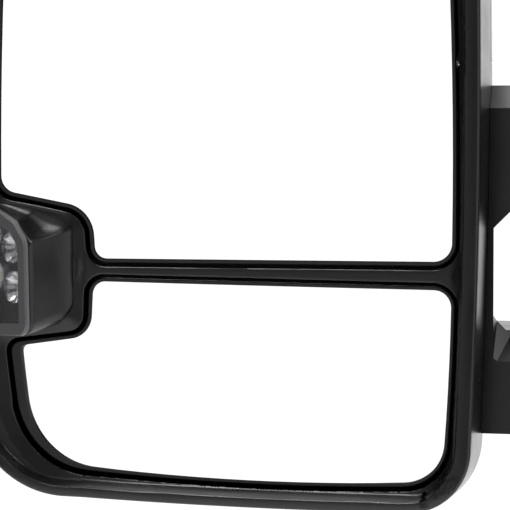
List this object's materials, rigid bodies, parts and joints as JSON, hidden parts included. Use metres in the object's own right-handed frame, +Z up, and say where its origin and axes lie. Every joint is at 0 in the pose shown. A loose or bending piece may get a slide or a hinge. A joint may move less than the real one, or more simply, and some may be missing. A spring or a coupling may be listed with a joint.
{
  "type": "towing mirror",
  "caption": "Door-mounted towing mirror, left side: flat pane over convex pane, side lamp in the bezel, folding swing bracket and telescoping twin arms.",
  "frame": {"origin": "middle of the flat face of the foot that bolts to the door, which is also the centre of its stud circle", "axes": "+X out of the mounting face, towards the door; -X outboard along the arms; -Y rearward, the way the mirror panes look; +Z up"},
  "size_m": [0.4225, 0.1303, 0.2975],
  "materials": {
    "black_shell": "fine grained satin black",
    "black_smooth": "smooth satin black",
    "board_green": "solder mask",
    "bush_plastic": "natural acetal",
    "cast_metal": "die-cast, tumbled",
    "heater": "printed film",
    "inner_plastic": "moulded glass-filled black",
    "lamp_grey": "satin dark grey",
    "led_yellow": "phosphor",
    "lens_clear": "clear",
    "mirror_flat": "polished",
    "motor_steel": "drawn can",
    "reflector_chrome": "vacuum metallised",
    "rubber_black": "matt",
    "steel": "zinc plated",
    "tube_black": "black anodised"
  },
  "bodies": {
    "base": {"base_foot": "cast_metal", "base_gasket": "rubber_black", "door_studs": "steel", "harness_grommet": "rubber_black", "pivot_post": "steel", "thrust_washer": "bush_plastic", "fold_spring": "steel", "spring_seat": "steel", "retaining_ring": "steel", "base_cover": "black_shell"},
    "arm": {"swing_bracket": "cast_metal", "pivot_bushes": "bush_plastic", "arm_tube_screws": "steel", "upper_arm_tube": "tube_black", "lower_arm_tube": "tube_black", "arm_end_plugs": "inner_plastic", "bracket_cover_rear": "black_shell", "bracket_cover_front": "black_shell"},
    "head": {"glass_bezel": "black_shell", "head_casing": "black_shell", "skull_cap": "black_shell", "arm_sleeve": "black_shell", "spot_lamp_frame": "lamp_grey", "spot_lamp_lens": "lens_clear", "spot_lamp_tub": "inner_plastic", "spot_lamp_reflector": "reflector_chrome", "spot_lamp_board": "board_green", "spot_lamp_leds": "led_yellow", "head_frame": "inner_plastic", "case_screws": "steel", "actuator_case": "inner_plastic", "actuator_cover": "inner_plastic", "actuator_screws": "steel", "tilt_motor": "motor_steel", "pan_motor": "motor_steel", "upper_guide_bushes": "bush_plastic", "lower_guide_bushes": "bush_plastic", "lower_pivot_bracket": "inner_plastic"},
    "upper_gimbal": {"upper_pivot_cross": "bush_plastic"},
    "upper_pane": {"upper_glass_pane": "mirror_flat", "upper_heater_pad": "heater", "upper_pane_carrier": "black_smooth"},
    "lower_gimbal": {"lower_pivot_cross": "bush_plastic"},
    "lower_pane": {"lower_glass_pane": "mirror_flat", "lower_pane_carrier": "black_smooth"},
    "tilt_drive": {"tilt_jack": "bush_plastic"},
    "pan_drive": {"pan_jack": "bush_plastic"}
  },
  "joints": [
    {"name": "fold", "type": "hinge", "parent": "base", "child": "arm", "pos_m": [-0.046, 0, 0], "axis": [0, 0, 1], "range_deg": [-60, 60]},
    {"name": "telescope", "type": "slide", "parent": "arm", "child": "head", "axis": [-1, 0, 0], "range_m": [0, 0.08]},
    {"name": "upper_tilt", "type": "hinge", "parent": "head", "child": "upper_gimbal", "pos_m": [-0.282, -0.039, 0.102], "axis": [1, 0, 0], "range_deg": [-7, 7]},
    {"name": "upper_pan", "type": "hinge", "parent": "upper_gimbal", "child": "upper_pane", "pos_m": [-0.282, -0.039, 0.102], "axis": [0, 0, 1], "range_deg": [-6, 6]},
    {"name": "tilt_jack_slide", "type": "slide", "parent": "head", "child": "tilt_drive", "axis": [0, 1, 0], "range_m": [-0.0038, 0.0038]},
    {"name": "pan_jack_slide", "type": "slide", "parent": "head", "child": "pan_drive", "axis": [0, 1, 0], "range_m": [-0.0038, 0.0038]},
    {"name": "lower_tilt", "type": "hinge", "parent": "head", "child": "lower_gimbal", "pos_m": [-0.267, -0.039, -0.052], "axis": [1, 0, 0], "range_deg": [-5, 5]},
    {"name": "lower_pan", "type": "hinge", "parent": "lower_gimbal", "child": "lower_pane", "pos_m": [-0.267, -0.039, -0.052], "axis": [0, 0, 1], "range_deg": [-5, 5]}
  ],
  "couplings": [
    {"joint": "tilt_jack_slide", "follows": "upper_tilt", "m_per_rad": -0.03},
    {"joint": "pan_jack_slide", "follows": "upper_pan", "m_per_rad": 0.03}
  ]
}
